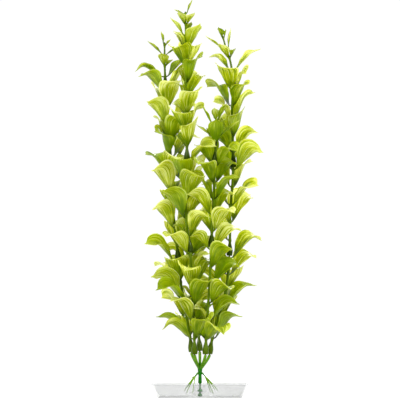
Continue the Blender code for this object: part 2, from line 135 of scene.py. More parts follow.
def tray_profile():
    """(half side, height, corner radius) from the foot up the outside, over the lip, and through the boss."""
    foot, rim, corner, edge = TRAY_FOOT / 2, TRAY_RIM / 2, TRAY_CORNER, EDGE_ROUNDING
    flare = (rim - foot) / TRAY_HEIGHT
    under_lip = TRAY_HEIGHT - LIP_HEIGHT
    lip = rim + LIP_WIDTH
    slope = (BOSS_FOOT_RADIUS - BOSS_TOP_RADIUS) / TRAY_HEIGHT
    boss_low = BOSS_FOOT_RADIUS - slope * TRAY_WALL
    hollow_top = TRAY_HEIGHT - TRAY_WALL
    walls = [
        (foot - edge, 0, corner - edge),
        (foot, edge, corner),
        (foot + flare * under_lip, under_lip, corner),
        (lip - edge, under_lip, corner + LIP_WIDTH - edge),
        (lip, under_lip + edge, corner + LIP_WIDTH),
        (lip, TRAY_HEIGHT - edge, corner + LIP_WIDTH),
        (lip - edge, TRAY_HEIGHT, corner + LIP_WIDTH - edge),
        (rim - TRAY_WALL + edge, TRAY_HEIGHT, corner - TRAY_WALL + edge),
        (rim - TRAY_WALL, TRAY_HEIGHT - edge, corner - TRAY_WALL),
        (foot - TRAY_WALL + flare * 3 * TRAY_WALL, 3 * TRAY_WALL, corner - TRAY_WALL),
        (foot - TRAY_WALL - edge, 1.25 * TRAY_WALL, corner - TRAY_WALL),
        (foot - 2.5 * TRAY_WALL, TRAY_WALL, corner - TRAY_WALL),
        (2 * BOSS_FOOT_RADIUS, TRAY_WALL, 2 * BOSS_FOOT_RADIUS),
    ]
    boss = [
        (boss_low + edge, TRAY_WALL),
        (boss_low, TRAY_WALL + edge),
        (BOSS_TOP_RADIUS, TRAY_HEIGHT - edge),
        (BOSS_TOP_RADIUS - edge, TRAY_HEIGHT),
        (PEG_HOLE_RADIUS, TRAY_HEIGHT),
        (PEG_HOLE_RADIUS, hollow_top),
        (BOSS_TOP_RADIUS - TRAY_WALL, hollow_top),
        (BOSS_FOOT_RADIUS - TRAY_WALL, edge),
        (BOSS_FOOT_RADIUS - TRAY_WALL + edge, 0),
    ]
    return walls + [(radius, height, radius) for radius, height in boss]


def grid_faces(rows, columns, first=0, close_rows=False):
    """Quads of a grid whose columns close into rings: (row, column), then the next column, on both rows."""
    row, column = np.meshgrid(np.arange(rows if close_rows else rows - 1), np.arange(columns), indexing="ij")
    after, beside = (row + 1) % rows, (column + 1) % columns
    corners = ((row, column), (row, beside), (after, beside), (after, column))
    return first + np.stack([ring * columns + point for ring, point in corners], -1).reshape(-1, 4)


def finish_piece(made, name, material, node):
    """Shades the mesh smooth, points its faces out, and puts it in place of its CAD node."""
    builder = bmesh.new()
    builder.from_mesh(made)
    bmesh.ops.recalc_face_normals(builder, faces=builder.faces)
    builder.to_mesh(made)
    builder.free()
    made.shade_smooth()
    made.set_sharp_from_angle(angle=math.radians(50))
    made.materials.append(material)
    piece = bpy.data.objects.new(name, made)
    bpy.context.scene.collection.objects.link(piece)
    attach(piece, "root")
    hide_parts(node)
    return piece


def clear_plastic():
    """Clear moulding whose grey is painted shade and painted reflection: nearly see-through at the boss, greyer in
    the walls, and most of all at the rim and foot, and denser and paler grey at glancing angles.
    """
    made, start = new_material("clear_polystyrene")
    place = start.node("ShaderNodeTexCoord", {}, {}, out="Object")
    facing = start.node("ShaderNodeLayerWeight", {}, {"Blend": 0.35}, out="Facing")
    flow = start.node("ShaderNodeTexNoise", {}, {"Vector": place, "Scale": 60.0, "Detail": 2.0})
    ripple = start.node("ShaderNodeBump", {}, {"Strength": 0.12, "Distance": 0.0004, "Height": flow})
    split = start.node("ShaderNodeVectorMath", {"operation": "MULTIPLY"}, {0: place, 1: (1.0, 1.0, 0.0)})
    radius = start.node("ShaderNodeVectorMath", {"operation": "LENGTH"}, {0: split}, out="Value")
    wall = start.maths("MULTIPLY", radius - BOSS_FOOT_RADIUS - 2 * MM, 200.0, clamp=True)
    height = start.node("ShaderNodeSeparateXYZ", {}, {"Vector": place}, out="Z")
    rim = start.maths("MULTIPLY", height - (TRAY_HEIGHT - 1.1 * MM), 2000.0, clamp=True)
    foot = start.maths("MULTIPLY", 1.2 * MM - height, 1500.0, clamp=True)
    # Painted shade and painted reflection: opacity is raised in the walls, most at the rim and foot, and at glancing
    # angles, and glancing faces are painted a paler grey.
    alpha = 0.02 + wall * (0.2 + rim * 0.22 + foot * 0.1) + facing**3.0 * (wall * 0.25 + 0.25)
    grey_with_painted_reflection = facing.mixed((0.26, 0.27, 0.27, 1), (0.4, 0.41, 0.41, 1))
    surface = start.node("ShaderNodeBsdfPrincipled", {}, {
        "Base Color": grey_with_painted_reflection, "Roughness": 0.12, "IOR": 1.59, "Alpha": alpha, "Normal": ripple})
    set_surface(start, surface)
    return made


profile = tray_profile()
rings = [rounded_square(half, corner) for half, height, corner in profile]
heights = [np.full((len(ring), 1), height) for ring, (half, height, corner) in zip(rings, profile)]
points = np.array([np.hstack(pair) for pair in zip(rings, heights)])
tray_mesh = bpy.data.meshes.new("clear_tray")
tray_faces = grid_faces(*points.shape[:2], close_rows=True)
tray_mesh.from_pydata(points.reshape(-1, 3).tolist(), [], tray_faces.tolist())
finish_piece(tray_mesh, "clear_tray", clear_plastic(), "base_tray")

# Green root crown
# The crown is one moulding of soft green polythene. A column with a barbed peg below forks into five arms, each
# with a ball for the stem that snaps onto it, and four branched roots hang from the fork to look natural.
CROWN_RADIUS = 1.9 * MM
CROWN_TOP_RADIUS = 2.6 * MM
CROWN_FORK_HEIGHT = 30 * MM
PEG_SHAFT_RADIUS = 0.9 * MM
PEG_BARB_RADIUS = 2.8 * MM
PEG_BALL_RADIUS = 2.1 * MM
ARM_RADIUS = 1.5 * MM
ROOT_RADIUS = 0.95 * MM
STRAND_RADIUS = 0.55 * MM
ROOT_TOP = 24.5 * MM
KNEE_REACH = 5.3 * MM
KNEE_HEIGHT = 19.8 * MM
BALL_RADIUS = 1.5 * MM
NECK_RADIUS = 0.8 * MM
CLEARANCE = 0.3 * MM

Young = namedtuple("Young", "height azimuth length width lean droop")
Stem = namedtuple("Stem", "line mouths azimuths young")

# line holds (height, right, back) of the stem's middle line in mm, and mouths the height of each bell's mouth.
# azimuths are the two directions between which the pairs alternate, in degrees from +X towards +Y, and young
# holds the leaves of the last section, in mm and degrees.
STEMS = {
    "left": Stem(
        line=[(43, -7.6, 2.7), (66, -10.7, 3), (113, -19.2, 4), (142, -21.5, 5), (168, -25, 5),
              (215, -27.4, 5), (244, -28.7, 4), (275, -32, 4), (317, -33.8, 3), (338, -33.8, 3)],
        mouths=(43, 130, 214.5, 293),
        azimuths=(215, 305),
        young=[
            Young(337, 200, 13, 6, 12, 0),
            Young(336, 340, 8, 5, 42, 0),
            Young(327, 188, 21, 10, 47, 5),
            Young(327, 350, 12, 4.5, 55, 0),
            Young(316.5, 230, 14, 13, 22, 10),
            Young(316.5, 338, 10, 10.5, 48, 10),
            Young(306, 187, 33, 21, 58, 78),
            Young(306, 18, 30, 21, 44, 25),
        ],
    ),
    "front_left": Stem(
        line=[(41, -5, -7), (75, -6, -9), (112, -8, -12), (140, -9, -14), (168, -13.5, -15),
              (197, -14, -15), (228, -12, -15), (262, -13.6, -14), (322, -13.2, -10), (367, -14, -9)],
        mouths=(41, 139, 225, 318),
        azimuths=(230, 320),
        young=[
            Young(366, 178, 11, 5, 66, 0),
            Young(366, 4, 15, 6.5, 22, 0),
            Young(356, 220, 15, 13, 34, 0),
            Young(356, 320, 15, 13, 31, 0),
            Young(345, 194, 23, 11.5, 37, 5),
            Young(345, 50, 16, 9, 26, 10),
            Young(332, 318, 31, 21, 32, 8),
            Young(332, 140, 24, 15.5, 30, 30),
        ],
    ),
    "front_right": Stem(
        line=[(41, 5, -7), (79, 7.2, -10), (114, 9.5, -13), (151, 11, -16), (183, 12.6, -17),
              (209, 13.8, -18), (240, 15, -18), (265, 15.6, -17)],
        mouths=(41, 143.5, 223),
        azimuths=(215, 310),
        young=[
            Young(264, 240, 13, 10, 12, 0),
            Young(264, 322, 21, 9, 16, 0),
            Young(256, 182, 27, 8, 27, 0),
            Young(256, 10, 15, 9, 40, 0),
            Young(248, 184, 25, 10.5, 54, 0),
            Young(248, 2, 28, 10.5, 50, 5),
            Young(240.5, 272, 30, 17, 17, 8),
            Young(240.5, 100, 26, 17, 30, 60),
        ],
    ),
    "right": Stem(
        line=[(41, 8.5, 2.7), (59, 12.3, 3), (81, 19, 4), (105, 26, 5), (142, 28.6, 6), (180, 28.8, 7),
              (200, 31, 7), (228, 32.2, 6), (268, 30.2, 5), (297, 31.7, 4), (314, 31, 3),
              (329, 27, 3), (344, 20.5, 2)],
        mouths=(41, 135, 219.5, 295),
        azimuths=(225, 320),
        young=[
            Young(343, 220, 12, 9, 26, 0),
            Young(343, 335, 9, 6.5, 12, 0),
            Young(332, 183, 24, 6.5, 54, 0),
            Young(332, 5, 21, 9, 8, 0),
            Young(324, 228, 20, 13.5, 34, 0),
            Young(324, 308, 11, 14.5, 18, 10),
            Young(312, 352, 35.5, 19.5, 42, 34),
            Young(312, 168, 28, 19.5, 42, 60),
        ],
    ),
    "back": Stem(
        line=[(44, 0, 8.7), (80, -3, 12), (112, -7, 15), (146, -12, 18), (175, -14.5, 20), (211, -18, 21),
              (256, -21, 21)],
        mouths=(44, 130, 211),
        azimuths=(205, 110),
        young=[
            Young(255, 150, 13, 8, 20, 0),
            Young(255, 330, 13, 8, 25, 0),
            Young(245, 200, 22, 11.5, 40, 20),
            Young(245, 20, 22, 11.5, 40, 20),
            Young(232, 110, 29, 17, 32, 50),
            Young(232, 290, 29, 17, 32, 50),
        ],
    ),
}


def smooth(share):
    """0 below 0, 1 above 1, and an even curve between them."""
    share = np.clip(share, 0, 1)
    return share * share * (3 - 2 * share)


def stem_point(stem, height):
    """The stem's middle line at a height: its listed line, rounded off over 24 mm."""
    heights, right, back = (np.array(column) * MM for column in zip(*stem.line))
    near = height + np.linspace(-12, 12, 9) * MM
    return Vector((np.interp(near, heights, right).mean(), np.interp(near, heights, back).mean(), height))


def stem_direction(stem, height):
    step = 1 * MM
    return (stem_point(stem, height + step) - stem_point(stem, height - step)).normalized()


def rod_rings(line, radii, around=12, ahead=None):
    """Circles along a line, each across its direction ahead, with its own radius and no twist between them."""
    line, radii = np.array(line, float), np.array(radii, float)
    if ahead is None:
        ahead = np.gradient(line, axis=0)
        ahead /= np.linalg.norm(ahead, axis=1)[:, None]
    across = np.cross(ahead, (0.31, 0.95, 0.05))
    across /= np.linalg.norm(across, axis=1)[:, None]
    beside = np.cross(ahead, across)
    angle = np.linspace(0, 2 * math.pi, around, endpoint=False)[None, :, None]
    circle = across[:, None] * np.cos(angle) + beside[:, None] * np.sin(angle)
    return line[:, None] + circle * radii[:, None, None]


def quadratic(start, bend, end, count):
    """Points of a curve from start to end that leans towards bend."""
    start, bend, end = np.array(start), np.array(bend), np.array(end)
    share = np.linspace(0, 1, count)[:, None]
    return (1 - share) ** 2 * start + 2 * share * (1 - share) * bend + share**2 * end


def ball_profile(neck, ball, start, middle, steps=9):
    """(distance, radius) of a neck and the ball on it: the ball's half circle round middle, cut at the neck."""
    opening = math.asin(neck / ball)
    angle = np.linspace(opening, math.pi - 0.02, steps)
    return [(start, neck)] + [(middle - ball * math.cos(a), ball * math.sin(a)) for a in angle]


class Shell:
    """Closed surfaces of rings, gathered into one mesh. Each point has a leaf share, a tone, an edge and a place."""

    def __init__(self):
        self.points, self.quads, self.ends, self.marks, self.places = [], [], [], [], []
        self.count = 0

    def add(self, rings, blade=0.0, tone=0.0, edge=0.0, across=0.5, along=0.0):
        rows, columns = rings.shape[:2]
        marks = (blade, tone, edge, across, along)
        whole = [np.broadcast_to(mark, (rows, columns)).reshape(-1) for mark in marks]
        self.points.append(rings.reshape(-1, 3))
        self.quads.append(grid_faces(rows, columns, self.count))
        last = self.count + (rows - 1) * columns
        self.ends += [list(range(self.count, self.count + columns)), list(range(last, last + columns))]
        self.marks.append(np.stack(whole[:3], 1))
        self.places.append(np.stack(whole[3:], 1))
        self.count += rows * columns

    def mesh(self, name):
        """The mesh of all surfaces, with the point values blade, tone and edge, and the UV map place."""
        made = bpy.data.meshes.new(name)
        quads = np.concatenate(self.quads).tolist()
        made.from_pydata(np.concatenate(self.points).tolist(), [], quads + self.ends)
        marks, places = np.concatenate(self.marks), np.concatenate(self.places)
        for column, mark in enumerate(("blade", "tone", "edge")):
            values = made.attributes.new(mark, "FLOAT", "POINT").data
            values.foreach_set("value", np.ascontiguousarray(marks[:, column]))
        corner = np.empty(len(made.loops), int)
        made.loops.foreach_get("vertex_index", corner)
        made.uv_layers.new(name="place").data.foreach_set("uv", places[corner].reshape(-1))
        return made


def rootlet(start, azimuth, reach, end, thickness, shell):
    """Adds a thin root that runs from start outwards along azimuth and down to the height end. Gives its tip."""
    heading = math.radians(azimuth)
    out = np.array((math.cos(heading), math.sin(heading), 0))
    start = np.array(start, float)
    bend = start + out * reach * 0.52 + np.array((0, 0, (end - start[2]) * 0.4))
    finish = np.array((start[0], start[1], end)) + out * reach
    line = quadratic(start, bend, finish, 15)
    share = np.linspace(0, 1, len(line))
    radii = thickness * (1 - 0.5 * share) * (1 + 0.1 * np.sin(share * 23 + azimuth))
    radii[-1] *= 0.3
    # Thinner roots get a higher tone, which the crown's material paints paler as light shining through them.
    tone = np.interp(thickness, (STRAND_RADIUS, ROOT_RADIUS), (1, 0.25))
    shell.add(rod_rings(line, radii, around=8), tone=tone, along=share[:, None])
    return finish


def crown_shell():
    """Peg, column, arms and roots, which run into each other at the fork."""
    shell = Shell()
    peg = [
        (0.35 * MM, 0.25 * PEG_BALL_RADIUS),
        (0.6 * MM, 0.7 * PEG_BALL_RADIUS),
        (1.3 * MM, 0.97 * PEG_BALL_RADIUS),
        (2.1 * MM, PEG_BALL_RADIUS),
        (2.9 * MM, 0.93 * PEG_BALL_RADIUS),
        (3.6 * MM, 0.6 * PEG_BALL_RADIUS),
        (4 * MM, PEG_SHAFT_RADIUS),
        (4.9 * MM, PEG_SHAFT_RADIUS),
        (5.2 * MM, 0.8 * PEG_BARB_RADIUS),
        (5.5 * MM, PEG_BARB_RADIUS),
        (6.4 * MM, 0.95 * PEG_BARB_RADIUS),
        (8 * MM, PEG_SHAFT_RADIUS),
        (TRAY_HEIGHT + CLEARANCE, PEG_SHAFT_RADIUS),
        (TRAY_HEIGHT + 1.6 * CLEARANCE, 0.94 * CROWN_RADIUS),
        (TRAY_HEIGHT + 3 * CLEARANCE, CROWN_RADIUS),
        (ROOT_TOP - 4 * MM, 0.9 * CROWN_RADIUS),
        (ROOT_TOP, 1.05 * CROWN_RADIUS),
        (CROWN_FORK_HEIGHT - 1 * MM, 0.97 * CROWN_TOP_RADIUS),
        (CROWN_FORK_HEIGHT + 1 * MM, 0.97 * CROWN_TOP_RADIUS),
        (CROWN_FORK_HEIGHT + 3 * MM, 0.5 * CROWN_TOP_RADIUS),
    ]
    shell.add(rod_rings([(0, 0, height) for height, _ in peg], [radius for _, radius in peg], around=24))
    for stem in STEMS.values():
        foot = stem.mouths[0] * MM
        base, direction = stem_point(stem, foot), stem_direction(stem, foot)
        fork = Vector((0, 0, CROWN_FORK_HEIGHT - 4 * MM))
        line = quadratic(fork, base - direction * 4 * MM, base - direction * 0.6 * MM, 18)
        share = np.linspace(0, 1, len(line))
        radii = ARM_RADIUS * (0.85 + 0.15 * share)
        radii *= np.interp(share, (0.93, 1), (1, NECK_RADIUS / ARM_RADIUS))
        ball = ball_profile(NECK_RADIUS, BALL_RADIUS, 0.6 * MM, 3.1 * MM)
        tip = np.array([base + direction * distance for distance, _ in ball])
        # The arms' tone of 0.35 paints them paler, as a painted highlight.
        shell.add(rod_rings(np.vstack([line, tip]), [*radii, *(radius for _, radius in ball)]), tone=0.35)
    # Each root is a short stalk at an azimuth, with strands from its knee: swing, reach and end height
    roots = (
        (168, ((-8, 10.5, 5.5), (24, 8, 3.5), (-36, 9, 11.5), (50, 3.5, 18.5), (4, 5.5, 10))),
        (214, ((6, 10, 6), (-22, 8.5, 9), (34, 7, 3.5), (-52, 4, 16))),
        (345, ((4, 12.5, 5.5), (-18, 9, 3), (28, 8, 9), (-44, 3.5, 16.5), (-2, 5, 11))),
        (26, ((-6, 10, 7), (22, 8, 4), (-34, 7, 12), (50, 4, 17))),
    )
    for azimuth, strands in roots:
        knee = rootlet((0, 0, ROOT_TOP), azimuth, KNEE_REACH, KNEE_HEIGHT, ROOT_RADIUS, shell)
        for swing, reach, end in strands:
            rootlet(knee, azimuth + swing, reach * MM, end * MM, STRAND_RADIUS, shell)
    return shell


def crown_plastic():
    """Saturated green with a waxy sheen, painted paler on the thin roots and the arms as painted light through them
    and painted highlights, and paler above 24 mm.
    """
    made, start = new_material("crown_green")
    place = start.node("ShaderNodeTexCoord", {}, {}, out="Object")
    thin = start.node("ShaderNodeAttribute", {"attribute_name": "tone"}, {}, out="Fac")
    height = start.node("ShaderNodeSeparateXYZ", {}, {"Vector": place}, out="Z")
    grain = start.node("ShaderNodeTexNoise", {}, {"Vector": place, "Scale": 420.0, "Detail": 3.0})
    raised = start.maths("MULTIPLY", height - 0.024, 50.0, clamp=True)
    # tone paints the thin roots and the arms paler, as painted light through them and painted highlights; raised
    # makes everything above 24 mm paler.
    pale = thin * 0.75 + raised * 0.4 + (grain - 0.5) * 0.6
    colour = pale.mixed((0.003, 0.15, 0.002, 1), (0.24, 0.43, 0.012, 1))
    bump = start.node("ShaderNodeBump", {}, {"Strength": 0.25, "Distance": 0.0002, "Height": grain})
    gloss = start.node("ShaderNodeBsdfPrincipled", {}, {
        "Base Color": colour, "Roughness": 0.28, "Specular IOR Level": 0.2,
        "Specular Tint": (0.8, 1.0, 0.5, 1), "Normal": bump})
    glow = start.node("ShaderNodeBsdfTranslucent", {}, {"Color": colour})
    set_surface(start, start.node("ShaderNodeMixShader", {}, {0: 0.22, 1: gloss, 2: glow}))
    return made


finish_piece(crown_shell().mesh("crown"), "crown", crown_plastic(), "root_crown")

# Stem sections and their leaves
# Each section is one moulding of translucent yellow-green polythene: a bell that snaps over the ball below, a
# stem, pairs of thin leaves whose ends fold over, and a ball at its head. The thick stem and bell are darker, and
# the bells of the upper sections, which sit among the leaves, are painted darker still as painted shade.
BELL_LENGTH = 12 * MM
BELL_RADIUS = 3.05 * MM
SOCKET_RADIUS = 2.25 * MM
SOCKET_DEPTH = 7 * MM
STEM_RADIUS = 1.25 * MM
TIP_RADIUS = 0.75 * MM
PAIR_SPACING = 16.5 * MM
PAIR_UNDER_BELL = 2.6 * MM
PAIR_OVER_BELL = 2.5 * MM
LEAF_LENGTHS = (42 * MM, 39 * MM, 37 * MM)
LEAF_WIDTHS = (26 * MM, 25.5 * MM, 25 * MM)
LEAF_THICKNESS = 0.75 * MM
PETIOLE_THICKNESS = 1.2 * MM
LEAF_STATIONS = (0, 0.16, 0.42, 0.66, 0.86, 1)
WHOLE_STATIONS = (0.05, *LEAF_STATIONS[1:])
BLADE_STATIONS = (0.2, *LEAF_STATIONS[2:])
RIB_HEIGHT = 0.3 * MM
RUFFLE_SHARE = 0.055
STREAK_SPAN = 48 * MM
NODE_SWELL = 0.4 * MM

Leaf = namedtuple("Leaf", "root azimuth length width lean droop sway roll")

# How each leaf grows and how far it may differ from the plain one, in degrees but for the share of its size
LEANS = (38, 32, 30)
LEAN_SPREAD = 9
DROOP = (50, 88)
SWAY = 22
ROLL = 45
BASE_FLARE = 42
TAIL_LIFT = 14
SIZE_SPREAD = 0.08
TURN_SPREAD = 30

# What a leaf may do to clear its neighbours, from the least change to the most
SWINGS = (0, 9, -9, 18, -18, 27, -27, 36, -36, 46, -46)
LEAN_CHANGES = (0, 9, -9, 18)
SHRINKS = (1, 0.9, 0.8, 0.68, 0.55)


def leaf_frame(leaf, stations):
    """Middle line, side and inner direction of a leaf at each station from 0, its root, to 1, its tip.

    The tilt from the vertical starts flared, stays near the lean, and then droops over the last half, with a
    slight lift at the tail. The heading swings by the sway, and the blade rolls about its own line.
    """
    along = np.linspace(0, 1, 65)
    tilt = np.radians(
        leaf.lean
        + BASE_FLARE * np.clip(1 - along / 0.2, 0, 1) ** 2
        + leaf.droop * smooth((along - 0.56) / 0.32)
        - TAIL_LIFT * smooth((along - 0.86) / 0.14)
    )
    heading = np.radians(leaf.azimuth + leaf.sway * along**2)
    tangent = np.stack([np.sin(tilt) * np.cos(heading), np.sin(tilt) * np.sin(heading), np.cos(tilt)], 1)
    steps = (tangent[1:] + tangent[:-1]) / 2 * leaf.length / (len(along) - 1)
    line = np.array(leaf.root) + np.concatenate([np.zeros((1, 3)), np.cumsum(steps, 0)])
    side = np.stack([-np.sin(heading), np.cos(heading), 0 * heading], 1)
    inner = np.cross(tangent, side)
    roll = np.radians(leaf.roll * along)[:, None]
    side, inner = side * np.cos(roll) + inner * np.sin(roll), inner * np.cos(roll) - side * np.sin(roll)
    frames = line, side, inner
    return [np.stack([np.interp(stations, along, part) for part in whole.T], 1) for whole in frames]


def half_width(leaf, stations):
    """A narrow stalk, a blade that widens evenly to six tenths of the length, and a narrow tail."""
    stations = np.asarray(stations, float)
    blade = np.sin(math.pi * np.clip((stations - 0.08) / 0.84, 0, 1) ** 1.6) ** 0.62
    narrow = 0.09 - 0.07 * smooth((stations - 0.88) / 0.12)
    return leaf.width / 2 * np.sqrt(blade**2 + narrow**2)


def channel(stations):
    """How far the blade is rolled up at its edges, in radians."""
    stations = np.asarray(stations, float)
    return 0.35 + 0.55 * smooth(stations / 0.4) * (1 - smooth((stations - 0.6) / 0.3))


def leaf_rings(leaf, stations, grow=0.0):
    """Points round each station: outer face, right edge, inner face, left edge. grow thickens the leaf."""
    line, side, inner = leaf_frame(leaf, stations)
    curl = channel(stations)
    reach = (half_width(leaf, stations) + grow)[:, None]
    across = side * reach * (np.sin(curl) / curl)[:, None]
    rise = inner * reach * ((1 - np.cos(curl)) / curl)[:, None]
    stalk = smooth(1 - np.asarray(stations) / 0.3)
    thickness = (LEAF_THICKNESS + (PETIOLE_THICKNESS - LEAF_THICKNESS) * stalk) / 2 + grow
    thick = inner * thickness[:, None]
    return np.stack([line - thick, line + across + rise, line + thick, line - across + rise], 1)


class Hull:
    """A search tree over the faces between rings, with the box that it fills, to find what it touches."""

    def __init__(self, rings):
        points = rings.reshape(-1, 3)
        self.low, self.high = points.min(0), points.max(0)
        rows, columns = rings.shape[:2]
        self.tree = BVHTree.FromPolygons(points.tolist(), grid_faces(rows, columns).tolist())

    def touches(self, other):
        apart = np.any(self.low > other.high) or np.any(other.low > self.high)
        return not apart and bool(self.tree.overlap(other.tree))


def rod_hull(points, radii):
    """The hull of an eight-sided rod that stands nearly upright."""
    angles = np.radians(np.arange(0, 360, 45))
    circle = np.stack([np.cos(angles), np.sin(angles), 0 * angles], 1)
    return Hull(np.array([np.array(p) + r * circle for p, r in zip(points, radii)]))


def section_profile(stem, foot, head, last):
    """(height, radius) up a section: bell, stem, and the ball in the next bell or, on the last, a thin tip."""
    bell = [(0, 0.88), (3, 1), (6.5, 0.88), (12, 0.43)]
    profile = [(foot + h * MM, BELL_RADIUS * share) for h, share in bell]
    upper = profile[-1][0]
    top_radius = TIP_RADIUS if last else STEM_RADIUS
    count = max(2, round((head - upper) / (28 * MM)))
    for k in range(1, count):
        share = k / count
        profile.append((upper + (head - upper) * share, STEM_RADIUS + (top_radius - STEM_RADIUS) * share))
    if last:
        return profile + [(head, top_radius), (head + 1.2 * MM, 0.4 * top_radius)]
    return profile + [
        (head - 1.6 * MM, STEM_RADIUS),
        (head - 0.2 * MM, NECK_RADIUS),
        (head + 1.3 * MM, NECK_RADIUS),
        (head + 2.4 * MM, BALL_RADIUS),
        (head + 3.8 * MM, BALL_RADIUS),
        (head + 5 * MM, 0.5 * BALL_RADIUS),
    ]


def sections_of(stem):
    """(foot, head, last) of each section, where head is the next bell's mouth or the stem's tip."""
    feet = [height * MM for height in stem.mouths]
    heads = feet[1:] + [stem.line[-1][0] * MM]
    return [(foot, head, k == len(feet) - 1) for k, (foot, head) in enumerate(zip(feet, heads))]


def leaf_at(stem, height, azimuth, *shape):
    """A leaf that starts just inside the stem at a height."""
    heading = math.radians(azimuth)
    root = stem_point(stem, height) + Vector((math.cos(heading), math.sin(heading), 0)) * 0.42 * MM
    return Leaf(tuple(root), azimuth, *shape)


def plain_leaves(stem_name, section, foot, head, last):
    """A section's leaves as they grow with nothing in their way, the topmost first."""
    stem = STEMS[stem_name]
    if last:
        return [
            leaf_at(stem, young.height * MM, young.azimuth, young.length * MM, young.width * MM, young.lean,
                    young.droop, 0, 0)
            for young in stem.young
        ]
    chance = random.Random(f"{stem_name} twigs {section}")
    low = foot + BELL_LENGTH + PAIR_OVER_BELL
    high = head - PAIR_UNDER_BELL
    count = round((high - low) / PAIR_SPACING) + 1
    leaves = []
    for k, height in enumerate(np.linspace(high, low, count)):
        for far in (0, 180):
            size = chance.uniform(1 - SIZE_SPREAD, 1 + SIZE_SPREAD)
            azimuth = stem.azimuths[(k + section) % 2] + far + chance.uniform(-TURN_SPREAD, TURN_SPREAD)
            lean = LEANS[section] + chance.uniform(-LEAN_SPREAD, LEAN_SPREAD)
            shape = (chance.uniform(*DROOP), chance.uniform(-SWAY, SWAY), chance.uniform(-ROLL, ROLL))
            length, width = LEAF_LENGTHS[section] * size, LEAF_WIDTHS[section] * size
            leaves.append(leaf_at(stem, height, azimuth, length, width, lean, *shape))
    return leaves


def changes():
    """Every change that a leaf may try, as (swing, lean, shrink), the smallest first."""
    found = [(swing, lean, shrink) for swing in SWINGS for lean in LEAN_CHANGES for shrink in SHRINKS]
    return sorted(found, key=lambda c: abs(c[0]) / 46 + abs(c[1]) / 40 + (1 - c[2]) * 1.6)


def settle(leaf, own_rod, rods, leaves):
    """The leaf, turned aside by the smallest change that keeps it clear of every rod and leaf, or None."""
    for swing, lean, shrink in changes():
        tried = leaf._replace(
            azimuth=leaf.azimuth + swing, lean=leaf.lean + lean, length=leaf.length * shrink,
            width=leaf.width * shrink,
        )
        blade = Hull(leaf_rings(tried, BLADE_STATIONS, CLEARANCE))
        if blade.touches(own_rod):
            continue
        whole = Hull(leaf_rings(tried, WHOLE_STATIONS, CLEARANCE))
        if not any(whole.touches(other) for other in rods + leaves):
            return tried, whole
    return None


def section_rods():
    """Hulls of all sections' rods, which every leaf has to clear."""
    found = {}
    for stem_name, stem in STEMS.items():
        for section, (foot, head, last) in enumerate(sections_of(stem)):
            outline = section_profile(stem, foot, head, last)
            middle = [stem_point(stem, height) for height, _ in outline]
            found[stem_name, section] = rod_hull(middle, [radius + CLEARANCE for _, radius in outline])
    return found


def grow_leaves():
    """Every leaf, by stem and section, each settled among those that grew before it."""
    rods, grown, leaves = section_rods(), {}, []
    for stem_name, stem in STEMS.items():
        for section, (foot, head, last) in enumerate(sections_of(stem)):
            own = rods[stem_name, section]
            others = [rod for rod in rods.values() if rod is not own]
            kept = []
            for plain in plain_leaves(stem_name, section, foot, head, last):
                settled = settle(plain, own, others, leaves)
                if settled:
                    kept.append(settled[0])
                    leaves.append(settled[1])
            grown[stem_name, section] = kept
    return grown


def add_blade(shell, leaf, number):
    """The moulded leaf: a curled channel as wide as the leaf, with a midrib, ruffled edges and a round tip.

    Rings run over the inner face from left to right and back over the outer face. A point at the share q of the
    half width lies sideways by the sine of q times the curl and up by its cosine, give or take half the thickness.
    """
    chance = random.Random(number)
    stations = np.concatenate([np.linspace(0, 0.94, 22), (0.965, 0.985, 0.996, 1)])
    line, side, inner = (part[:, None] for part in leaf_frame(leaf, 0.996 * stations))
    steps = np.sin(np.linspace(-math.pi / 2, math.pi / 2, 11))
    q = np.concatenate([steps, steps[-2:0:-1]])[None]
    face = np.concatenate([np.ones(11), -np.ones(9)])[None]
    face[0, [0, 10]] = 0
    s = stations[:, None]
    round_tip = np.sqrt(np.clip(1 - ((s - 0.955) / 0.047).clip(0, 1) ** 2, 0.02, 1))
    flare = 1 + 1.1 * np.exp(-(((s - 0.955) / 0.03) ** 2))
    reach = half_width(leaf, stations)[:, None] * round_tip * flare
    curl = channel(stations)[:, None] * chance.uniform(0.85, 1.15)
    wide = smooth((s - 0.25) / 0.25) * (1 - smooth((s - 0.8) / 0.15))
    turns = s * chance.uniform(2.2, 3.2) + chance.random()
    wave = RUFFLE_SHARE * reach * q**2 * wide * np.sin(2 * math.pi * turns + 1.3 * q)
    across = reach * np.sin(curl * q) / curl
    rise = reach * (1 - np.cos(curl * q)) / curl + wave
    stalk = smooth(1 - s / 0.3)
    thin, thick = 0.42 * LEAF_THICKNESS, PETIOLE_THICKNESS / 2
    thickness = thin * (1 - 0.45 * q**2) + (thick - thin) * stalk
    rib = RIB_HEIGHT * np.exp(-((q / 0.09) ** 2)) * wide
    lift = face * thickness * round_tip - rib * (face < 0) - 0.6 * rib * (face > 0)
    tilt_side, tilt_inner = -np.sin(curl * q), np.cos(curl * q)
    across, rise = across + tilt_side * lift, rise + tilt_inner * lift
    points = line + side * across[..., None] + inner * rise[..., None]
    grown = np.interp(leaf.length, (12 * MM, 36 * MM), (0.66, 1))
    blade = grown * smooth((s - 0.1) / 0.22) + 0 * q
    # edge marks the margins of grown leaves, which the leaf material paints paler as a painted highlight.
    edge = grown**3 * q**4 * wide
    shell.add(points, blade, chance.uniform(-1, 1), edge, 0.5 + q * leaf.width / STREAK_SPAN, s)


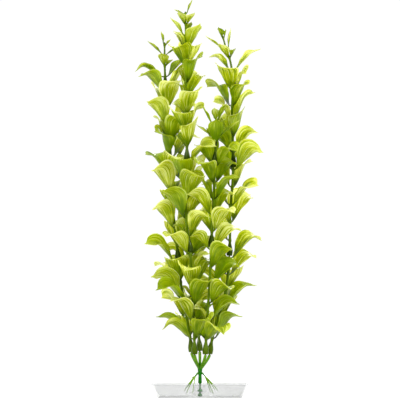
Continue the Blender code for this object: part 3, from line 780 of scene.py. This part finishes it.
def rod_profile(stem, foot, head, last, nodes):
    """(distance above the mouth, radius) from inside the socket, over the bell's lip and up to the ball or tip.

    The bell swells out of its lip and then narrows in an S to the stem, which is thicker where leaves leave it.
    """
    socket = [(SOCKET_DEPTH, 0.02 * MM), (SOCKET_DEPTH, SOCKET_RADIUS), (0.3 * MM, SOCKET_RADIUS)]
    lip = [(0, SOCKET_RADIUS + 0.2 * MM), (0.15 * MM, 0.86 * BELL_RADIUS)]
    above = np.linspace(0.6 * MM, head - foot - (0 if last else 1.8 * MM), round((head - foot) / (1.1 * MM)))
    bell = np.interp(above / MM, (0, 3, 5, 7, 9, 12), (0.87, 1, 0.98, 0.84, 0.66, 0.42)) * BELL_RADIUS
    stem_radius = STEM_RADIUS + ((TIP_RADIUS if last else STEM_RADIUS) - STEM_RADIUS) * above / (head - foot)
    radius = np.where(above < BELL_LENGTH, np.maximum(bell, stem_radius), stem_radius)
    for height in nodes:
        swell = NODE_SWELL * np.exp(-(((above - (height - foot)) / (1.3 * MM)) ** 2))
        radius = radius + swell * (radius < 1.6 * MM)
    rod = list(zip(above, radius))
    if last:
        end = [(head - foot + 0.8 * MM, 0.7 * TIP_RADIUS), (head - foot + 1.1 * MM, 0.2 * TIP_RADIUS)]
    else:
        end = ball_profile(NECK_RADIUS, BALL_RADIUS, head - foot - 0.4 * MM, head - foot + 3.1 * MM)
    return socket + lip + rod + end


def section_shell(stem_name, section, span, leaves):
    stem = STEMS[stem_name]
    foot, head, last = span
    shell = Shell()
    nodes = sorted({round(leaf.root[2], 5) for leaf in leaves})
    outline = rod_profile(stem, foot, head, last, nodes)
    line = [stem_point(stem, foot + above) for above, _ in outline]
    ahead = np.array([stem_direction(stem, foot + above) for above, _ in outline])
    # Painted shade: the rod is darkest at the bell, and the bells of the upper sections, among the leaves, darker
    # than those of the first.
    dark = np.interp([above for above, _ in outline], (8 * MM, 16 * MM), (-1 if section else -0.5, 0))
    rod = rod_rings(line, [radius for _, radius in outline], around=14, ahead=ahead)
    shell.add(rod, tone=dark[:, None])
    for number, leaf in enumerate(leaves):
        add_blade(shell, leaf, f"{stem_name} {section} {number}")
    return shell


def leaf_plastic():
    """Translucent yellow-green with streaks, greener on some leaves and dark in the stem, with painted highlights
    that make the edges, tips and brightest streaks paler.
    """
    made, start = new_material("leaf_green")
    blade = start.node("ShaderNodeAttribute", {"attribute_name": "blade"}, {}, out="Fac")
    tone = start.node("ShaderNodeAttribute", {"attribute_name": "tone"}, {}, out="Fac")
    edge = start.node("ShaderNodeAttribute", {"attribute_name": "edge"}, {}, out="Fac")
    place = start.node("ShaderNodeUVMap", {"uv_map": "place"}, {})
    moved = start.node("ShaderNodeCombineXYZ", {}, {"X": tone * 40.0, "Y": tone * 17.0})
    own = start.node("ShaderNodeVectorMath", {"operation": "ADD"}, {0: place, 1: moved})
    broad = start.node("ShaderNodeMapping", {}, {"Vector": own, "Scale": (22.0, 1.1, 1.0)})
    fine = start.node("ShaderNodeMapping", {}, {"Vector": own, "Scale": (64.0, 2.6, 1.0)})
    veins = start.node("ShaderNodeTexNoise", {}, {"Vector": broad, "Scale": 1.0, "Detail": 1.5})
    threads = start.node("ShaderNodeTexNoise", {}, {"Vector": fine, "Scale": 1.0, "Detail": 2.0})
    whole = start.node("ShaderNodeTexCoord", {}, {}, out="Object")
    mottle = start.node("ShaderNodeTexNoise", {}, {"Vector": whole, "Scale": 70.0, "Detail": 2.0})
    along = start.node("ShaderNodeSeparateXYZ", {}, {"Vector": place}, out="Y")
    streak = (veins - 0.5) * 2.1 + (threads - 0.5) * 2.6 + (mottle - 0.5) * 1.5
    # Painted highlight: light rises towards the tip and the edges, and pale turns its top end whitish, for the
    # studio light that the drooping ends, margins and streaks catch and reflect.
    light = streak + tone * 0.3 + edge * 0.3 + along * 0.9 - 0.07
    pale = start.maths("MULTIPLY", light - 0.74, 2.6, clamp=True)
    green = start.maths("MULTIPLY", mottle * 1.2 - tone * 0.35 - 0.5, 1.6, clamp=True)
    face = pale.mixed(light.mixed((0.09, 0.2, 0.0, 1), (0.7, 0.74, 0.015, 1)), (0.95, 1.0, 0.5, 1))
    thick = (tone + 1.0 + (mottle - 0.5) * 1.4).mixed((0.018, 0.04, 0.0, 1), (0.09, 0.155, 0.0, 1))
    relief = veins + threads * 0.35
    bump = start.node("ShaderNodeBump", {}, {"Strength": 0.6, "Distance": 0.0005, "Height": relief})
    gloss = start.node("ShaderNodeBsdfPrincipled", {}, {
        "Base Color": blade.mixed(thick, green.mixed(face, (0.25, 0.39, 0.002, 1))), "Roughness": 0.35,
        "Specular IOR Level": 0.15, "Specular Tint": (0.85, 1.0, 0.35, 1), "Normal": bump,
        "Coat Weight": start.maths("MULTIPLY", blade * 0.3 + mottle * 1.6 - 0.75, 1.0, clamp=True),
        "Coat Roughness": 0.12})
    # The colour of the light through the blade carries the same painted highlight.
    lit = pale.mixed(light.mixed((0.38, 0.5, 0.0, 1), (0.98, 0.96, 0.04, 1)), (1.0, 1.0, 0.5, 1))
    glow = start.node("ShaderNodeBsdfTranslucent", {}, {"Color": lit})
    set_surface(start, start.node("ShaderNodeMixShader", {}, {0: blade * 0.55, 1: gloss, 2: glow}))
    return made


leaf_green = leaf_plastic()
for (stem_name, section), leaves in grow_leaves().items():
    span = sections_of(STEMS[stem_name])[section]
    name = f"{stem_name}_stem_section_{section + 1}"
    shell = section_shell(stem_name, section, span, leaves)
    finish_piece(shell.mesh(name + "_moulding"), name + "_moulding", leaf_green, name)

# Table, light and camera
# The plant stands on a white table in an even white studio, with a soft lamp at the upper left, a weaker one at
# the upper right and a wide one behind that lights the leaves through. The camera is far off with a long lens,
# level with the plant's middle.
TABLE_SIZE = 2.4
CAMERA_DISTANCE = 9.0
PIXEL = 0.955 * MM
FRAME_HEIGHT = 400 * PIXEL
FRAME_MIDDLE = (397.1 - 200) * PIXEL
SENSOR = 36.0

builder = bmesh.new()
bmesh.ops.create_grid(builder, x_segments=1, y_segments=1, size=TABLE_SIZE / 2)
table_mesh = bpy.data.meshes.new("white_table")
builder.to_mesh(table_mesh)
builder.free()
white_table, start = new_material("white_table")
place = start.node("ShaderNodeTexCoord", {}, {}, out="Object")
speckle = start.node("ShaderNodeTexNoise", {}, {"Vector": place, "Scale": 40.0, "Detail": 3.0})
paper = speckle.mixed((0.76, 0.76, 0.76, 1), (0.8, 0.8, 0.8, 1))
set_surface(start, start.node("ShaderNodeBsdfPrincipled", {}, {"Base Color": paper, "Roughness": 0.9}))
table_mesh.materials.append(white_table)
table = bpy.data.objects.new("white_table", table_mesh)
bpy.context.scene.collection.objects.link(table)

studio = bpy.data.worlds.new("white_studio")
studio.use_nodes = True
studio.node_tree.nodes["Background"].inputs["Color"].default_value = (1, 1, 1, 1)
studio.node_tree.nodes["Background"].inputs["Strength"].default_value = 1.03
bpy.context.scene.world = studio


def add_lamp(name, place, size, power):
    """A square soft lamp at place that faces the plant's middle."""
    lamp = bpy.data.lights.new(name, "AREA")
    lamp.size = size
    lamp.energy = power
    holder = bpy.data.objects.new(name, lamp)
    holder.location = place
    holder.rotation_euler = (Vector((0, 0, FRAME_MIDDLE)) - Vector(place)).to_track_quat("-Z", "Y").to_euler()
    bpy.context.scene.collection.objects.link(holder)


add_lamp("upper_left_lamp", (-1.0, -1.3, 1.1), 0.3, 20)
add_lamp("right_lamp", (1.2, -0.7, 1.0), 0.3, 14)
add_lamp("back_lamp", (0.3, 1.5, 0.7), 0.8, 14)

camera = bpy.data.objects.new("camera", bpy.data.cameras.new("camera"))
camera.data.sensor_width = SENSOR
camera.data.lens = SENSOR * CAMERA_DISTANCE / FRAME_HEIGHT
camera.data.clip_end = 4 * CAMERA_DISTANCE
camera.location = (0, -CAMERA_DISTANCE, FRAME_MIDDLE)
camera.rotation_euler = (math.pi / 2, 0, 0)
bpy.context.scene.collection.objects.link(camera)
bpy.context.scene.camera = camera
bpy.context.scene.view_settings.view_transform = "Standard"
